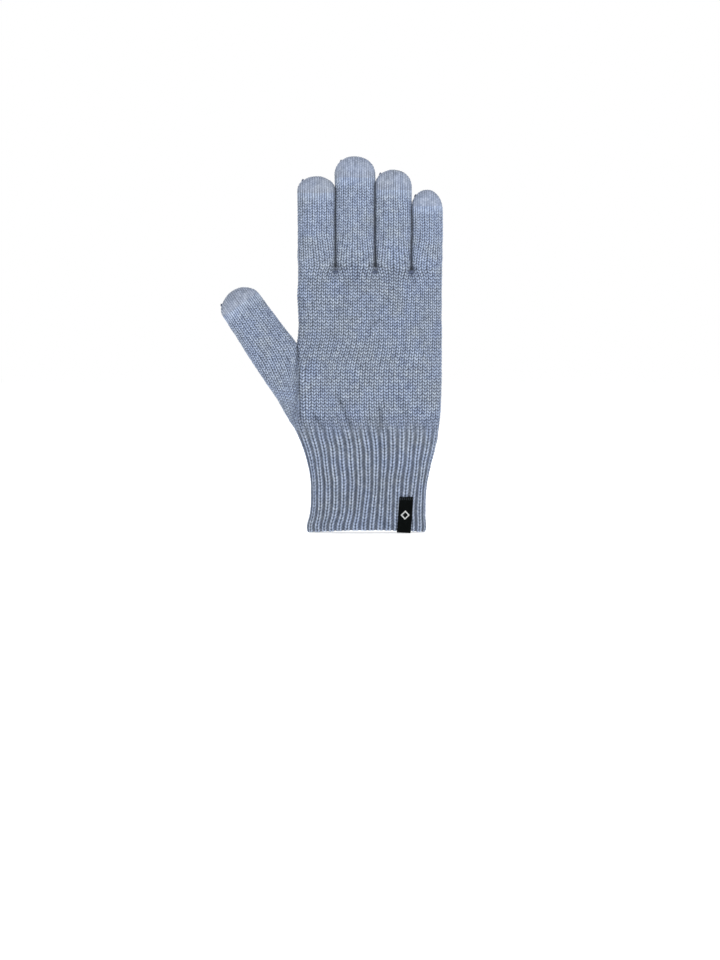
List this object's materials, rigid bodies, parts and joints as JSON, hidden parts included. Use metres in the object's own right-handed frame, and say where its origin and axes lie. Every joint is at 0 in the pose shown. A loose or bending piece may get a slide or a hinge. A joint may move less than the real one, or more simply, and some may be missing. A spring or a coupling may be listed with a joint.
{
  "type": "touchscreen glove",
  "caption": "Knitted right-hand glove with ribbed cuff and conductive fingertips, hollow, held by its cuff; wrist, thumb and fingers bend towards the palm.",
  "frame": {"origin": "in the plane of the cuff's edge, below the middle of the glove's own box, which is 23.5 mm to the thumb side of the centre of the wrist opening", "axes": "+Z from the wrist opening to the fingertips, +X towards the little finger, +Y out of the palm"},
  "size_m": [0.1466, 0.026, 0.2465],
  "materials": {
    "knit": "knitted",
    "rib": "knitted rib",
    "touch_yarn": "knitted, fine",
    "closing_thread": "twisted yarn",
    "elastic": "covered thread",
    "label": "woven",
    "label_thread": "woven"
  },
  "bodies": {
    "cuff": {"ribbed_cuff": "rib", "cuff_elastic_1": "elastic", "cuff_elastic_2": "elastic", "cuff_elastic_3": "elastic", "cuff_elastic_4": "elastic", "woven_label": "label", "label_motif": "label_thread", "label_tack": "closing_thread"},
    "hand": {"hand_shell": "knit", "index_middle_tack": "closing_thread", "middle_ring_tack": "closing_thread", "ring_little_tack": "closing_thread"},
    "index_base": {"index_base_sleeve": "knit"},
    "index_middle": {"index_middle_sleeve": "knit"},
    "index_tip": {"index_touch_tip": "touch_yarn", "index_tip_knot": "closing_thread"},
    "middle_base": {"middle_base_sleeve": "knit"},
    "middle_middle": {"middle_middle_sleeve": "knit"},
    "middle_tip": {"middle_touch_tip": "touch_yarn", "middle_tip_knot": "closing_thread"},
    "ring_base": {"ring_base_sleeve": "knit"},
    "ring_middle": {"ring_middle_sleeve": "knit"},
    "ring_tip": {"ring_touch_tip": "touch_yarn", "ring_tip_knot": "closing_thread"},
    "little_base": {"little_base_sleeve": "knit"},
    "little_middle": {"little_middle_sleeve": "knit"},
    "little_tip": {"little_touch_tip": "touch_yarn", "little_tip_knot": "closing_thread"},
    "thumb_root": {"thumb_gusset": "knit"},
    "thumb_base": {"thumb_base_sleeve": "knit"},
    "thumb_tip": {"thumb_touch_tip": "touch_yarn", "thumb_tip_knot": "closing_thread"}
  },
  "joints": [
    {"name": "wrist_bend", "type": "hinge", "parent": "cuff", "child": "hand", "pos_m": [0.0235, 0, 0.056], "axis": [-1, 0, 0], "range_deg": [-35, 45], "stiffness_Nm_per_rad": 0.15},
    {"name": "index_base_bend", "type": "hinge", "parent": "hand", "child": "index_base", "pos_m": [-0.0094, 0, 0.182], "axis": [-1, 0, 0], "range_deg": [-15, 70], "stiffness_Nm_per_rad": 0.008},
    {"name": "index_middle_bend", "type": "hinge", "parent": "index_base", "child": "index_middle", "pos_m": [-0.0094, 0, 0.1975], "axis": [-1, 0, 0], "range_deg": [0, 75], "stiffness_Nm_per_rad": 0.004},
    {"name": "index_tip_bend", "type": "hinge", "parent": "index_middle", "child": "index_tip", "pos_m": [-0.0094, 0, 0.2112], "axis": [-1, 0, 0], "range_deg": [0, 45], "stiffness_Nm_per_rad": 0.004},
    {"name": "middle_base_bend", "type": "hinge", "parent": "hand", "child": "middle_base", "pos_m": [0.016, 0, 0.183], "axis": [-1, 0, 0], "range_deg": [-15, 70], "stiffness_Nm_per_rad": 0.008},
    {"name": "middle_middle_bend", "type": "hinge", "parent": "middle_base", "child": "middle_middle", "pos_m": [0.016, 0, 0.2025], "axis": [-1, 0, 0], "range_deg": [0, 75], "stiffness_Nm_per_rad": 0.004},
    {"name": "middle_tip_bend", "type": "hinge", "parent": "middle_middle", "child": "middle_tip", "pos_m": [0.016, 0, 0.2215], "axis": [-1, 0, 0], "range_deg": [0, 45], "stiffness_Nm_per_rad": 0.004},
    {"name": "ring_base_bend", "type": "hinge", "parent": "hand", "child": "ring_base", "pos_m": [0.0411, 0, 0.182], "axis": [-1, 0, 0], "range_deg": [-15, 70], "stiffness_Nm_per_rad": 0.008},
    {"name": "ring_middle_bend", "type": "hinge", "parent": "ring_base", "child": "ring_middle", "pos_m": [0.0411, 0, 0.1995], "axis": [-1, 0, 0], "range_deg": [0, 75], "stiffness_Nm_per_rad": 0.004},
    {"name": "ring_tip_bend", "type": "hinge", "parent": "ring_middle", "child": "ring_tip", "pos_m": [0.0411, 0, 0.216], "axis": [-1, 0, 0], "range_deg": [0, 45], "stiffness_Nm_per_rad": 0.004},
    {"name": "little_base_bend", "type": "hinge", "parent": "hand", "child": "little_base", "pos_m": [0.0632, 0, 0.1788], "axis": [-1, 0, 0], "range_deg": [-15, 70], "stiffness_Nm_per_rad": 0.008},
    {"name": "little_middle_bend", "type": "hinge", "parent": "little_base", "child": "little_middle", "pos_m": [0.0632, 0, 0.1925], "axis": [-1, 0, 0], "range_deg": [0, 75], "stiffness_Nm_per_rad": 0.004},
    {"name": "little_tip_bend", "type": "hinge", "parent": "little_middle", "child": "little_tip", "pos_m": [0.0632, 0, 0.205], "axis": [-1, 0, 0], "range_deg": [0, 45], "stiffness_Nm_per_rad": 0.004},
    {"name": "thumb_fold", "type": "hinge", "parent": "hand", "child": "thumb_root", "pos_m": [-0.0245, 0, 0.095], "axis": [0, 0, -1], "range_deg": [0, 45], "stiffness_Nm_per_rad": 0.006},
    {"name": "thumb_base_bend", "type": "hinge", "parent": "thumb_root", "child": "thumb_base", "pos_m": [-0.03979, 0, 0.12115], "axis": [-0.8192, 0, -0.5736], "range_deg": [0, 55], "stiffness_Nm_per_rad": 0.008},
    {"name": "thumb_tip_bend", "type": "hinge", "parent": "thumb_base", "child": "thumb_tip", "pos_m": [-0.05241, 0, 0.13917], "axis": [-0.8192, 0, -0.5736], "range_deg": [0, 70], "stiffness_Nm_per_rad": 0.004}
  ]
}
